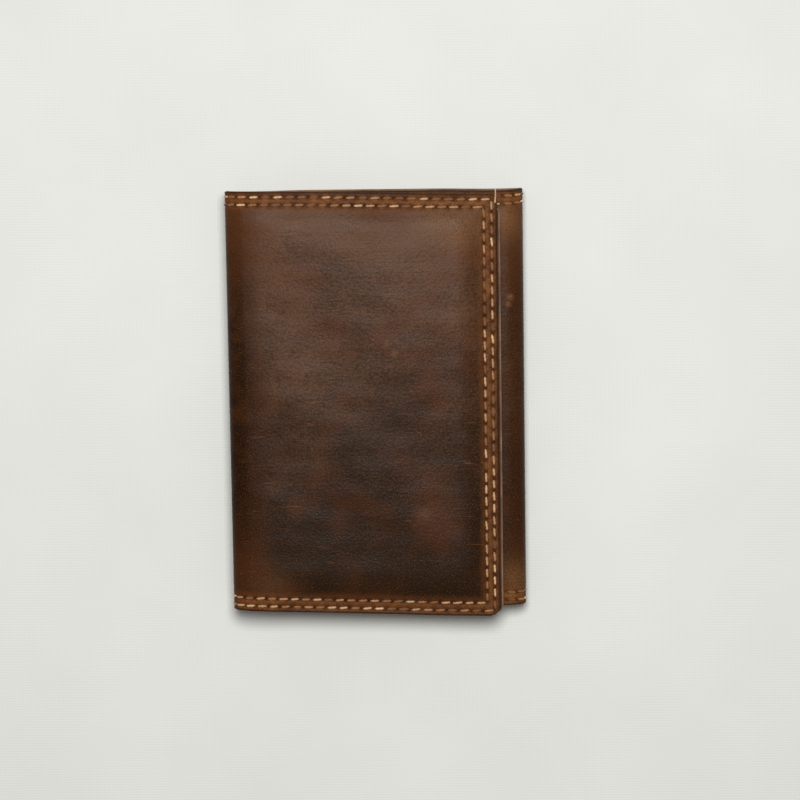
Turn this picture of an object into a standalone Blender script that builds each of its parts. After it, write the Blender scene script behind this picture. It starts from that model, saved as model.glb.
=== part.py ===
"""A closed trifold wallet, lying on its back: three leather panels joined by two folded spines.

X runs across the wallet, from the left fold to the right fold. Y runs up to the open side of the
bill compartments. Z is up. The origin is under the middle of the closed wallet, on its back face.
The left spine and the front flap open to the left; the right spine and the inner wing to the right.
"""

import math

import bmesh
import bpy
from mathutils import Matrix, Vector

MM = 0.001

# Driving dimensions
WIDTH = 77.0 * MM
HEIGHT = 108.0 * MM
LEATHER = 1.4 * MM
PANEL = 0.8 * MM
POCKET = 0.6 * MM
CLOTH = 0.3 * MM
FILM = 0.3 * MM
SHEET_GAP = 0.3 * MM
WING_GAP = 0.4 * MM
FLAP_GAP = 0.5 * MM

# Folds
FOLD_INSET = 1.6 * MM  # from the outer faces to a fold's axis
FOLD_RELIEF = 0.15 * MM  # from a fold's axis to the leather on either side of it
LINING_INSET = 1.7 * MM  # from a spine's outer face to its lining
LINING_END = 2.3 * MM

# Panels, seen from above
FLAP_FREE_X = 31.2 * MM
WING_FREE_X = -24.3 * MM
RAW_EDGE = 1.2 * MM  # how far an inner panel stands out of the leather at a free edge
CORNER = 3.0 * MM
FLAP_SLOPE = math.tan(math.radians(1.8))  # the flap hangs slightly down towards its free edge
EDGE_ROUNDING = 0.3 * MM

# Inner layers, from the middle of the wallet and from its top and bottom edges
PANEL_HALF = 34.7 * MM
POCKET_HALF = 33.6 * MM
PANEL_DROP = 2.0 * MM
PANEL_RISE = 0.4 * MM
CLOTH_DROP = 4.0 * MM
CLOTH_RISE = 1.0 * MM
POCKET_RISE = 0.8 * MM
FRONT_MOUTH_Y = 16.0 * MM
POCKET_STEP = 9.0 * MM

# Identity window
WINDOW_WIDTH = 46.0 * MM
WINDOW_HEIGHT = 76.0 * MM
WINDOW_CORNER = 4.0 * MM
WINDOW_BORDER = 3.5 * MM  # how far the film reaches under the frame
THUMB_RADIUS = 8.0 * MM

# Stitching
ROW_INSETS = {"outer": 1.4 * MM, "inner": 3.4 * MM}
GROOVE_WIDTH = 1.1 * MM
GROOVE_DEPTH = 0.8 * MM
THREAD_WIDTH = 0.5 * MM
THREAD_HEIGHT = 0.45 * MM
THREAD_SINK = 0.05 * MM
ROW_START = 2.4 * MM  # from the fold side of a panel to the first stitch
OVERCUT = 0.5 * MM
ARC_STEPS = 4

HALF_WIDTH = WIDTH / 2
HALF_HEIGHT = HEIGHT / 2
AXIS_X = HALF_WIDTH - FOLD_INSET
PANEL_EDGE_X = AXIS_X - FOLD_RELIEF
CENTRE_Y = FLAP_SLOPE * (FLAP_FREE_X - CORNER + PANEL_EDGE_X) / 2

MATERIALS = {
    "outer_leather": ((0.155, 0.082, 0.048), 0.55, 1.0),
    "inner_leather": ((0.120, 0.062, 0.038), 0.60, 1.0),
    "pocket_leather": ((0.140, 0.074, 0.045), 0.60, 1.0),
    "cloth": ((0.035, 0.026, 0.022), 0.90, 1.0),
    "film": ((0.80, 0.82, 0.83), 0.12, 0.35),
    "thread": ((0.56, 0.38, 0.25), 0.70, 1.0),
}


def stack(bottom, *thicknesses):
    """The (low, high) heights of sheets laid on each other with a gap, starting at bottom."""
    levels = []
    for thickness in thicknesses:
        levels.append((bottom, bottom + thickness))
        bottom += thickness + SHEET_GAP
    return levels


def clear_scene():
    for thing in list(bpy.data.objects):
        bpy.data.objects.remove(thing, do_unlink=True)


def make_materials():
    made = {}
    for name, (colour, roughness, alpha) in MATERIALS.items():
        material = bpy.data.materials.new(name)
        material.use_nodes = True
        shader = material.node_tree.nodes["Principled BSDF"]
        shader.inputs["Base Color"].default_value = (*colour, 1.0)
        shader.inputs["Roughness"].default_value = roughness
        shader.inputs["Metallic"].default_value = 0.0
        shader.inputs["Alpha"].default_value = alpha
        made[name] = material
    return made


def make_axis(name, x, z, parent=None):
    """An empty on a fold's axis, which the pieces that turn about it hang from."""
    empty = bpy.data.objects.new(name, None)
    bpy.context.scene.collection.objects.link(empty)
    place = Vector((x, CENTRE_Y, z))
    empty["world_place"] = place
    if parent:
        empty.parent = parent
        place = place - Vector(parent["world_place"])
    empty.location = place
    return empty


def add_object(name, shape, axis, material=None):
    """Turns a bmesh, drawn in world coordinates about CENTRE_Y, into an object under its axis."""
    bmesh.ops.recalc_face_normals(shape, faces=shape.faces)
    mesh = bpy.data.meshes.new(name)
    shape.to_mesh(mesh)
    shape.free()
    mesh.transform(Matrix.Translation((0, CENTRE_Y, 0)))
    thing = bpy.data.objects.new(name, mesh)
    bpy.context.scene.collection.objects.link(thing)
    if axis:
        mesh.transform(Matrix.Translation(-Vector(axis["world_place"])))
        thing.parent = axis
    if material:
        mesh.materials.append(material)
    else:
        thing.hide_render = True
        thing.display_type = "WIRE"
    return thing


def straight(x, y):
    return x, y


def sheared(x, y):
    """The front flap's outline: its top and bottom edges slope down to its free edge."""
    return x, y - FLAP_SLOPE * (x + PANEL_EDGE_X)


def arc(centre_x, centre_y, radius, start):
    """Points on a quarter circle, anticlockwise from the angle start in degrees."""
    angles = [math.radians(start + 90 * step / ARC_STEPS) for step in range(ARC_STEPS + 1)]
    return [(centre_x + radius * math.cos(a), centre_y + radius * math.sin(a)) for a in angles]


def rectangle(low, high, radii=(0, 0, 0, 0)):
    """An anticlockwise outline. radii are those of the lower left corner and on, anticlockwise."""
    (x0, y0), (x1, y1) = low, high
    corners = [(x0, y0, 1, 1, 180), (x1, y0, -1, 1, 270), (x1, y1, -1, -1, 0), (x0, y1, 1, -1, 90)]
    outline = []
    for (x, y, inward_x, inward_y, start), radius in zip(corners, radii):
        if radius:
            outline += arc(x + inward_x * radius, y + inward_y * radius, radius, start)
        else:
            outline.append((x, y))
    return outline


def slab(outline, heights, form=straight):
    """A closed flat sheet with this outline, between two heights."""
    low, high = heights
    shape = bmesh.new()
    corners = [shape.verts.new((*form(x, y), low)) for x, y in outline]
    face = shape.faces.new(corners)
    raised = bmesh.ops.extrude_face_region(shape, geom=[face])["geom"]
    tops = [item for item in raised if isinstance(item, bmesh.types.BMVert)]
    bmesh.ops.translate(shape, verts=tops, vec=(0, 0, high - low))
    return shape


def block(low, high):
    return slab(rectangle(low[:2], high[:2]), (low[2], high[2]))


def offset_path(path, distance):
    """The path moved sideways to its left by distance, its corners mitred."""
    moved = []
    for index, point in enumerate(path):
        before = Vector(path[max(index - 1, 0)])
        after = Vector(path[min(index + 1, len(path) - 1)])
        here = Vector(point)
        directions = [d.normalized() for d in (here - before, after - here) if d.length > 0]
        along = sum(directions, Vector((0, 0))).normalized()
        normal = Vector((-along.y, along.x))
        moved.append(here + normal * distance / max(along.dot(directions[0]), 0.5))
    return moved


def strip(path, width, heights, form=straight):
    """A flat band of this width that follows a path."""
    left = offset_path(path, width / 2)
    right = offset_path(path, -width / 2)
    return slab([tuple(p) for p in right + left[::-1]], heights, form)


def soften_edges(thing):
    bevel = thing.modifiers.new("rounded_edges", "BEVEL")
    bevel.width = EDGE_ROUNDING
    bevel.segments = 2
    bevel.limit_method = "ANGLE"


def cut(thing, cutter):
    boolean = thing.modifiers.new(cutter.name, "BOOLEAN")
    boolean.operation = "DIFFERENCE"
    boolean.object = cutter
    boolean.solver = "EXACT"


def u_path(fold_x, free_x, inset):
    """A stitch row along the top, the free edge and the bottom of a panel."""
    inward = math.copysign(1, fold_x - free_x)
    side_x = free_x + inward * inset
    edge_y = HALF_HEIGHT - inset
    radius = max(CORNER - inset, 0.8 * MM)
    start_x = fold_x - inward * ROW_START
    centre_x = side_x + inward * radius
    centre_y = edge_y - radius
    if free_x > fold_x:
        turns = arc(centre_x, -centre_y, radius, 270) + arc(centre_x, centre_y, radius, 0)
        return [(start_x, -edge_y), *turns, (start_x, edge_y)]
    turns = arc(centre_x, centre_y, radius, 90) + arc(centre_x, -centre_y, radius, 180)
    return [(start_x, edge_y), *turns, (start_x, -edge_y)]


def stitch_panel(leather, path, name, surface, facing, axis, material, form=straight):
    """Cuts a stitch groove along path into a panel's outer face, and lays the thread in it."""
    bottom = surface - facing * GROOVE_DEPTH
    groove = sorted((bottom, surface + facing * OVERCUT))
    cutter = add_object(name + "_groove", strip(path, GROOVE_WIDTH, groove, form), axis)
    cut(leather, cutter)
    top = surface - facing * THREAD_SINK
    thread = sorted((top, top - facing * THREAD_HEIGHT))
    inner_path = trim_ends(path, (GROOVE_WIDTH - THREAD_WIDTH) / 2)
    add_object(name, strip(inner_path, THREAD_WIDTH, thread, form), axis, material)


def trim_ends(path, length):
    """The path shortened by length at both ends."""
    points = [Vector(p) for p in path]
    points[0] = points[0] + (points[1] - points[0]).normalized() * length
    points[-1] = points[-1] + (points[-2] - points[-1]).normalized() * length
    return points


def stitch_straight_rows(leather, prefix, rows, groove_box, thread_box, axis, material):
    """Two stitch rows along the top and two along the bottom. The boxes give X and Z spans."""
    for edge, side in (("top", 1), ("bottom", -1)):
        for row, inset in rows.items():
            y = side * (HALF_HEIGHT - inset)
            name = f"{prefix}_{edge}_{row}_stitches"
            cutter = add_object(name + "_groove", row_block(y, GROOVE_WIDTH, groove_box), axis)
            cut(leather, cutter)
            add_object(name, row_block(y, THREAD_WIDTH, thread_box), axis, material)


def row_block(y, width, spans):
    (x0, x1), (z0, z1) = spans
    return block((x0, y - width / 2, z0), (x1, y + width / 2, z1))


def panel_outline(fold_x, free_x, low_y, high_y, radius=0.0):
    """A panel's outline, with round corners at its free edge."""
    low = (min(fold_x, free_x), low_y)
    high = (max(fold_x, free_x), high_y)
    radii = (0, radius, radius, 0) if free_x > fold_x else (radius, 0, 0, radius)
    return rectangle(low, high, radii)


def add_layers(prefix, spans, levels, axis, materials, form=straight):
    """The cloth divider and the inner panel of one leaf. spans are their X limits."""
    low_y = -HALF_HEIGHT
    cloth_outline = rectangle(
        (spans["cloth"][0], low_y + CLOTH_RISE), (spans["cloth"][1], HALF_HEIGHT - CLOTH_DROP)
    )
    cloth = slab(cloth_outline, levels["cloth"], form)
    add_object(prefix + "_bill_divider", cloth, axis, materials["cloth"])
    panel_shape = rectangle(
        (spans["panel"][0], low_y + PANEL_RISE), (spans["panel"][1], HALF_HEIGHT - PANEL_DROP)
    )
    panel = slab(panel_shape, levels["panel"], form)
    add_object(prefix + "_inner_panel", panel, axis, materials["inner_leather"])


def add_pockets(prefix, span, levels, axis, material):
    """Three card pockets, each mouth a step below the one behind it."""
    for index, place in enumerate(("front", "middle", "rear")):
        mouth = FRONT_MOUTH_Y + index * POCKET_STEP
        outline = rectangle((span[0], POCKET_RISE - HALF_HEIGHT), (span[1], mouth))
        add_object(f"{prefix}_pocket_{place}", slab(outline, levels[place]), axis, material)


def build_back_panel(levels, materials):
    outline = rectangle((-PANEL_EDGE_X, -HALF_HEIGHT), (PANEL_EDGE_X, HALF_HEIGHT))
    shape = slab(outline, levels["leather"])
    leather = add_object("back_outer_leather", shape, None, materials["outer_leather"])
    soften_edges(leather)
    end = PANEL_EDGE_X - ROW_START
    inset = (GROOVE_WIDTH - THREAD_WIDTH) / 2
    groove_box = ((-end, end), (-OVERCUT, GROOVE_DEPTH))
    thread_box = ((inset - end, end - inset), (THREAD_SINK, THREAD_SINK + THREAD_HEIGHT))
    stitch_straight_rows(
        leather, "back", ROW_INSETS, groove_box, thread_box, None, materials["thread"]
    )
    spans = {"cloth": (-PANEL_HALF, PANEL_HALF), "panel": (-PANEL_HALF, PANEL_HALF)}
    add_layers("back", spans, levels, None, materials)
    add_pockets("back", (-POCKET_HALF, POCKET_HALF), levels, None, materials["pocket_leather"])


def build_spine(prefix, side, top, axis, materials):
    """The upright strip between two folds: its leather, its lining and its four stitch rows."""
    outer = side * HALF_WIDTH
    inner = side * (HALF_WIDTH - LEATHER)
    end = FOLD_INSET + FOLD_RELIEF
    x_span = sorted((outer, inner))
    shape = block((x_span[0], -HALF_HEIGHT, end), (x_span[1], HALF_HEIGHT, top - end))
    leather = add_object(prefix + "_leather", shape, axis, materials["outer_leather"])
    soften_edges(leather)
    row_end = end + ROW_START / 2
    inset = (GROOVE_WIDTH - THREAD_WIDTH) / 2
    groove_x = sorted((outer + side * OVERCUT, outer - side * GROOVE_DEPTH))
    skin = outer - side * THREAD_SINK
    thread_x = sorted((skin, skin - side * THREAD_HEIGHT))
    groove_box = (groove_x, (row_end, top - row_end))
    thread_box = (thread_x, (row_end + inset, top - row_end - inset))
    stitch_straight_rows(
        leather, prefix, ROW_INSETS, groove_box, thread_box, axis, materials["thread"]
    )
    near = outer - side * LINING_INSET
    lining_x = sorted((near, near - side * CLOTH))
    lining = block(
        (lining_x[0], CLOTH_RISE - HALF_HEIGHT, LINING_END),
        (lining_x[1], HALF_HEIGHT - CLOTH_DROP, top - LINING_END),
    )
    add_object(prefix + "_lining", lining, axis, materials["cloth"])


def build_inner_wing(levels, axis, materials):
    """The leaf folded in from the right, face down, its outer leather uppermost."""
    outline = panel_outline(PANEL_EDGE_X, WING_FREE_X, -HALF_HEIGHT, HALF_HEIGHT, CORNER)
    shape = slab(outline, levels["leather"])
    leather = add_object("wing_outer_leather", shape, axis, materials["outer_leather"])
    soften_edges(leather)
    for row, inset in ROW_INSETS.items():
        path = u_path(PANEL_EDGE_X, WING_FREE_X, inset)
        name = f"wing_{row}_stitches"
        surface = levels["leather"][1]
        stitch_panel(leather, path, name, surface, 1, axis, materials["thread"])
    free_x = WING_FREE_X - RAW_EDGE
    spans = {"cloth": (WING_FREE_X, PANEL_HALF), "panel": (free_x, PANEL_HALF)}
    add_layers("wing", spans, levels, axis, materials)
    add_pockets("wing", (free_x, POCKET_HALF), levels, axis, materials["pocket_leather"])


def window_outline(margin, corner):
    """The identity window's outline, in the middle of the flap's inner side."""
    middle = (FLAP_FREE_X - PANEL_HALF) / 2
    low = (middle - WINDOW_WIDTH / 2 - margin, -WINDOW_HEIGHT / 2 - margin)
    high = (middle + WINDOW_WIDTH / 2 + margin, WINDOW_HEIGHT / 2 + margin)
    return rectangle(low, high, (corner,) * 4)


def thumb_outline():
    """A round notch in the frame's top edge, for pushing a card out."""
    middle = (FLAP_FREE_X - PANEL_HALF) / 2
    steps = 3 * ARC_STEPS
    angles = [math.pi + math.pi * step / steps for step in range(steps + 1)]
    top = HALF_HEIGHT - PANEL_DROP
    curve = [(middle + THUMB_RADIUS * math.cos(a), top + THUMB_RADIUS * math.sin(a)) for a in angles]
    high = top + OVERCUT
    return [*curve, (middle + THUMB_RADIUS, high), (middle - THUMB_RADIUS, high)]


def build_window(levels, axis, materials):
    """The clear film over the identity pocket, and the leather frame that holds it."""
    film = slab(window_outline(WINDOW_BORDER, 0), levels["film"], sheared)
    add_object("flap_window_film", film, axis, materials["film"])
    low = (-POCKET_HALF, POCKET_RISE - HALF_HEIGHT)
    high = (FLAP_FREE_X, HALF_HEIGHT - PANEL_DROP)
    shape = slab(rectangle(low, high), levels["frame"], sheared)
    frame = add_object("flap_window_frame", shape, axis, materials["pocket_leather"])
    bottom, top = levels["frame"]
    heights = (bottom - SHEET_GAP / 2, top + SHEET_GAP / 2)
    for name, outline in (
        ("window_opening", window_outline(0, WINDOW_CORNER)),
        ("thumb_notch", thumb_outline()),
    ):
        cut(frame, add_object(name, slab(outline, heights, sheared), axis))


def build_front_flap(levels, axis, materials):
    """The leaf that closes over the wing, its outer leather uppermost."""
    outline = panel_outline(-PANEL_EDGE_X, FLAP_FREE_X, -HALF_HEIGHT, HALF_HEIGHT, CORNER)
    shape = slab(outline, levels["leather"], sheared)
    leather = add_object("flap_outer_leather", shape, axis, materials["outer_leather"])
    soften_edges(leather)
    for row, inset in ROW_INSETS.items():
        path = u_path(-PANEL_EDGE_X, FLAP_FREE_X, inset)
        name = f"flap_{row}_stitches"
        surface = levels["leather"][1]
        stitch_panel(leather, path, name, surface, 1, axis, materials["thread"], sheared)
    free_x = FLAP_FREE_X + RAW_EDGE
    spans = {"cloth": (-PANEL_HALF, FLAP_FREE_X - RAW_EDGE), "panel": (-PANEL_HALF, free_x)}
    add_layers("flap", spans, levels, axis, materials, sheared)
    build_window(levels, axis, materials)


def main():
    clear_scene()
    materials = make_materials()
    back_names = ("leather", "cloth", "panel", "rear", "middle", "front")
    back_levels = stack(0.0, LEATHER, CLOTH, PANEL, POCKET, POCKET, POCKET)
    back = dict(zip(back_names, back_levels))
    wing_levels = stack(
        back["front"][1] + WING_GAP, POCKET, POCKET, POCKET, PANEL, CLOTH, LEATHER
    )
    wing = dict(zip(reversed(back_names), wing_levels))
    flap_names = ("frame", "film", "panel", "cloth", "leather")
    flap_levels = stack(wing["leather"][1] + FLAP_GAP, PANEL, FILM, PANEL, CLOTH, LEATHER)
    flap = dict(zip(flap_names, flap_levels))
    wing_top = wing["leather"][1]
    flap_top = flap["leather"][1]

    left_low = make_axis("left_spine_axis", -AXIS_X, FOLD_INSET)
    left_high = make_axis("front_flap_axis", -AXIS_X, flap_top - FOLD_INSET, left_low)
    right_low = make_axis("right_spine_axis", AXIS_X, FOLD_INSET)
    right_high = make_axis("inner_wing_axis", AXIS_X, wing_top - FOLD_INSET, right_low)

    build_back_panel(back, materials)
    build_spine("left_spine", -1, flap_top, left_low, materials)
    build_spine("right_spine", 1, wing_top, right_low, materials)
    build_inner_wing(wing, right_high, materials)
    build_front_flap(flap, left_high, materials)


main()
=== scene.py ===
import math

import bmesh
import bpy
import numpy as np
from mathutils import Matrix, Vector


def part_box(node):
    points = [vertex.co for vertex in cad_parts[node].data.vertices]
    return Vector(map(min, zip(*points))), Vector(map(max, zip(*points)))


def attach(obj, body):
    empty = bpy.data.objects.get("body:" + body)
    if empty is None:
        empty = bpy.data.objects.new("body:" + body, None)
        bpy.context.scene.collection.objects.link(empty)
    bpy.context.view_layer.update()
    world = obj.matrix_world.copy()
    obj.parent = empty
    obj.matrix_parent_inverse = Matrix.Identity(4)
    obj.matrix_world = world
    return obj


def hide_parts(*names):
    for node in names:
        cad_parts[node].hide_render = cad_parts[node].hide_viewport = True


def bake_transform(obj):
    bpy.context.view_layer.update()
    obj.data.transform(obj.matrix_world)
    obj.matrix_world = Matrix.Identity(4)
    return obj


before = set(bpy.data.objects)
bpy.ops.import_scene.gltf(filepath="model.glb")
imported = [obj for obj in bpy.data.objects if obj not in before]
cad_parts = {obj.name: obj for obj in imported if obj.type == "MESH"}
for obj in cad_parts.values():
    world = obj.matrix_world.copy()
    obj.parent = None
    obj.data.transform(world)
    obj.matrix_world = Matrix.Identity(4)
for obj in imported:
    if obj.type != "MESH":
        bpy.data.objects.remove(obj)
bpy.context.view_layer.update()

# Lengths below are in millimetres, in the frame's axes: X across, Y towards the open side, Z up.
MM = 0.001

# Outer leather
BEND_RADIUS = {-1: 5.0, 1: 4.6}  # left and right folds, at the outer face
FLAP_SLOPE = math.tan(math.radians(1.8))  # of the flap's bottom edge and of the sheets behind it
CORNERS = (3.0, 1.7)  # radii at the bottom and at the top of a free edge
SHEET_CORNER = 2.8  # of the sheets inside the leaves
EDGE_ROUND = 0.42
FOLD_TAPER = 0.3
FLAP_TOP_SLOPE = math.tan(math.radians(1.35))
FLAP_OVERHANG = 0.4  # past the CAD leaf's free edge
WING_TOP_DROP = 0.5
LEAN = (0.4, 1.4)  # how far the left fold comes in at its top and at its bottom
LEAN_WIDTH = 37.0
SQUEEZE = {"flap": 1.45, "wing": 1.38, "back": 0.0}  # of the outer leather, at a sewn edge
SQUEEZE_WIDTH = 11.0
BACK_SEAM_SHIFT = 1.11  # how far the back's front pocket is pressed down where it is sewn
SHOULDER = 0.25
SHOULDER_WIDTH = 13.0
CLOTH_DEPTH = (1.7, 2.0)  # the lining's two faces, in from the leather's outer face
CLOTH_RISE = 1.0  # from the leather's bottom edge to the lining's
CLOTH_SHORT = 5.0  # how much less high the lining is than the leather

# Stitching
PITCH = 3.1
ROW_INSETS = (1.4, 3.4)
STITCH_LENGTH = 2.15
THREAD_RADIUS = 0.27
HOLE_RADIUS = 0.40
HOLE_DEPTH = 0.55
GROOVE_DEPTH = 0.16
GROOVE_RADIUS = 0.55
RESTING_GROOVE = 2.2  # how many times deeper it is where the wallet rests on it
THREAD_STEPS = 15  # points along one stitch
THREAD_SIDES = 10  # points round it
SEAM_SINK = 0.05  # of the stitches on the inner faces
TAIL_LENGTH = 3.6

# Identity window
WINDOW_HALF = (23.0, 38.0)
WINDOW_DROP = 0.6  # of its middle, below the middle of the frame
WINDOW_CORNER = 4.0
FRAME_CORNER = 1.2
THUMB_RADIUS = 8.0

FOLD_WEAR_AND_SHADE = {-1: 1.0, 1: 0.62}  # how rubbed the left and the right fold are, and how much painted shade darkens each
# Worn spots: the side whose leaf they are on, x, y, radius and strength
WORN_SPOTS = (
    (-1, 22.0, 44.5, 5.0, 0.55),
    (-1, 15.0, 47.0, 4.0, 0.30),
    (-1, 5.0, 13.0, 0.8, 0.6),
    (-1, 3.0, 15.5, 0.8, 0.4),
    (-1, -27.0, -46.0, 5.0, 0.20),
    (-1, 12.0, -28.0, 2.0, 0.25),
    (1, 34.9, 27.0, 0.7, 1.0),
    (1, 34.4, 25.2, 0.6, 0.9),
    (1, 34.0, 47.0, 4.5, 0.6),
    (1, 35.5, -46.0, 5.0, 0.6),
)

# Mesh spacing: lines close to a cut edge, then even steps
EDGE_LINES = (0.0, 0.06, 0.16, 0.29, 0.42, 0.75)
SKIN_STEP = 0.5
SHEET_STEP = 1.4
RING_SIDE = 110  # points along each side of the window frame
SHARP_ANGLE = math.radians(52)

# Camera and light
CAMERA_DISTANCE = 0.87
CAMERA_TILT = math.radians(3.6)
CAMERA_ROLL = math.radians(0.65)
VIEW_WIDTH = 0.2067  # across the frame, at the wallet
CAMERA_TARGET = (0.0063, 0.0006, 0.009)
KEY_PLACE = (0.01, 0.15, 0.70)
KEY_SIZE = 0.22
KEY_POWER = 4.15
WORLD_STRENGTH = 0.20

random = np.random.default_rng(7)


def box_mm(node):
    """The lowest and the highest corner of a CAD node."""
    low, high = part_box(node)
    return np.array(low) / MM, np.array(high) / MM


LEFT_X = -box_mm("left_spine_leather")[0][0]
RIGHT_X = box_mm("right_spine_leather")[1][0]
LEATHER = box_mm("back_outer_leather")[1][2]
LOW_Y, HIGH_Y = (corner[1] for corner in box_mm("back_outer_leather"))
FLAP_TOP = box_mm("flap_outer_leather")[1][2]
WING_TOP = box_mm("wing_outer_leather")[1][2]
FLAP_FREE_X = box_mm("flap_outer_leather")[1][0]
WING_FREE_X = box_mm("wing_outer_leather")[0][0]
FLAP_START_X = box_mm("flap_outer_leather")[0][0]
POCKET_HALF = box_mm("back_pocket_front")[1][0]
EDGE_X = {-1: LEFT_X, 1: RIGHT_X}


# ---------------------------------------------------------------- shape helpers


def smooth(t):
    t = np.clip(t, 0.0, 1.0)
    return t * t * (3 - 2 * t)


def ripple(a, b, wave, seed):
    """A smooth uneven surface between about -1 and 1, with waves of about this length."""
    phases = np.random.default_rng(seed).uniform(0, 2 * math.pi, (5, 2))
    total = 0.0
    for index, (angle, phase) in enumerate(phases):
        length = wave * (0.7 + 0.22 * index)
        along = a * math.cos(angle) + b * math.sin(angle)
        total = total + np.sin(2 * math.pi * along / length + phase)
    return total / 3.0


def lean(x, y):
    """How far the left fold's uneven line moves a point of the flap or the back to the right."""
    share = (HIGH_Y - y) / (HIGH_Y - LOW_Y)
    return (LEAN[0] + (LEAN[1] - LEAN[0]) * share) * (1 - smooth((x + LEFT_X) / LEAN_WIDTH))


def spaced(length, step, start_edge=True, end_edge=True):
    """Places along a length: fine lines at its cut edges and even steps between them."""
    lines = np.array(EDGE_LINES)
    first = lines if start_edge else np.array([0.0])
    last = length - lines[::-1] if end_edge else np.array([length])
    count = max(2, int(round((last[0] - first[-1]) / step)))
    middle = np.linspace(first[-1], last[0], count + 1)
    return np.concatenate([first[:-1], middle, last[1:]])


def edge_drop(distance):
    """How far a rounded edge falls below the face, at a distance in from the cut."""
    short = np.clip(EDGE_ROUND - distance, 0, EDGE_ROUND)
    return EDGE_ROUND - np.sqrt(np.maximum(EDGE_ROUND**2 - short**2, 0))


def nearest(points, targets):
    """The distance from each point to the nearest target, both (n, 2)."""
    found = np.full(len(points), 1e3)
    for start in range(0, len(points), 4000):
        part = points[start : start + 4000]
        gaps = part[:, None, :] - targets[None, :, :]
        found[start : start + 4000] = np.sqrt((gaps**2).sum(2).min(1))
    return found


def resample(path, step):
    """Points at even steps along a path, half a step in from its ends, and their directions."""
    path = np.asarray(path, float)
    lengths = np.linalg.norm(np.diff(path, axis=0), axis=1)
    along = np.concatenate([[0], np.cumsum(lengths)])
    count = max(1, int(round(along[-1] / step)))
    at = (np.arange(count) + 0.5) * along[-1] / count
    points = np.stack([np.interp(at, along, path[:, k]) for k in range(2)], 1)
    ahead = np.stack([np.interp(at + 0.3, along, path[:, k]) for k in range(2)], 1)
    behind = np.stack([np.interp(at - 0.3, along, path[:, k]) for k in range(2)], 1)
    direction = ahead - behind
    return points, direction / np.linalg.norm(direction, axis=1)[:, None]


# ---------------------------------------------------------------- mesh helpers


def make_object(name, points, faces, materials, material_index=None, attributes=None):
    """An object from points in millimetres, closed and facing out, shaded smooth but for its corners."""
    mesh = bpy.data.meshes.new(name)
    mesh.from_pydata((np.asarray(points) * MM).tolist(), [], faces)
    for material in materials:
        mesh.materials.append(material)
    if material_index is not None:
        mesh.polygons.foreach_set("material_index", np.asarray(material_index, np.int32))
    for key, values in (attributes or {}).items():
        values = np.asarray(values, np.float32)
        kind = "FLOAT_VECTOR" if values.ndim == 2 else "FLOAT"
        layer = mesh.attributes.new(key, kind, "POINT")
        layer.data.foreach_set("vector" if values.ndim == 2 else "value", values.ravel())
    shape = bmesh.new()
    shape.from_mesh(mesh)
    bmesh.ops.recalc_face_normals(shape, faces=shape.faces)
    shape.to_mesh(mesh)
    shape.free()
    mesh.shade_smooth()
    mesh.set_sharp_from_angle(angle=SHARP_ANGLE)
    thing = bpy.data.objects.new(name, mesh)
    bpy.context.scene.collection.objects.link(thing)
    return thing


def grid_faces(rows, columns, ring=False):
    """Quads of a grid of points. With ring, the last row joins the first."""
    faces = []
    for i in range(rows if ring else rows - 1):
        here, ahead = i * columns, ((i + 1) % rows) * columns
        faces += [(here + j, ahead + j, ahead + j + 1, here + j + 1) for j in range(columns - 1)]
    return faces


def closed_sheet(name, top, bottom, materials, attributes, ring=False):
    """A sheet from the grids of its two faces, with walls round its edges.

    materials are those of the top face, the cut walls and the bottom face. attributes holds one
    array for the top grid, which the bottom grid repeats.
    """
    rows, columns, _ = top.shape
    count = rows * columns
    upper = grid_faces(rows, columns, ring)
    lower = [tuple(count + v for v in face[::-1]) for face in upper]
    rims = [[i * columns for i in range(rows)], [i * columns + columns - 1 for i in range(rows)]]
    if ring:
        rims = [rim + rim[:1] for rim in rims]
    else:
        rims += [list(range(columns)), list(range(count - columns, count))]
    walls = []
    for rim in rims:
        walls += [(a, b, count + b, count + a) for a, b in zip(rim, rim[1:])]
    index = [0] * len(upper) + [2] * len(lower) + [1] * len(walls)
    points = np.concatenate([top.reshape(-1, 3), bottom.reshape(-1, 3)])
    doubled = {}
    for key, values in attributes.items():
        flat = values.reshape(count, -1)
        both = np.concatenate([flat, flat])
        doubled[key] = both if both.shape[1] > 1 else both[:, 0]
    return make_object(name, points, upper + lower + walls, materials, index, doubled)


# ---------------------------------------------------------------- outer leather


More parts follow.
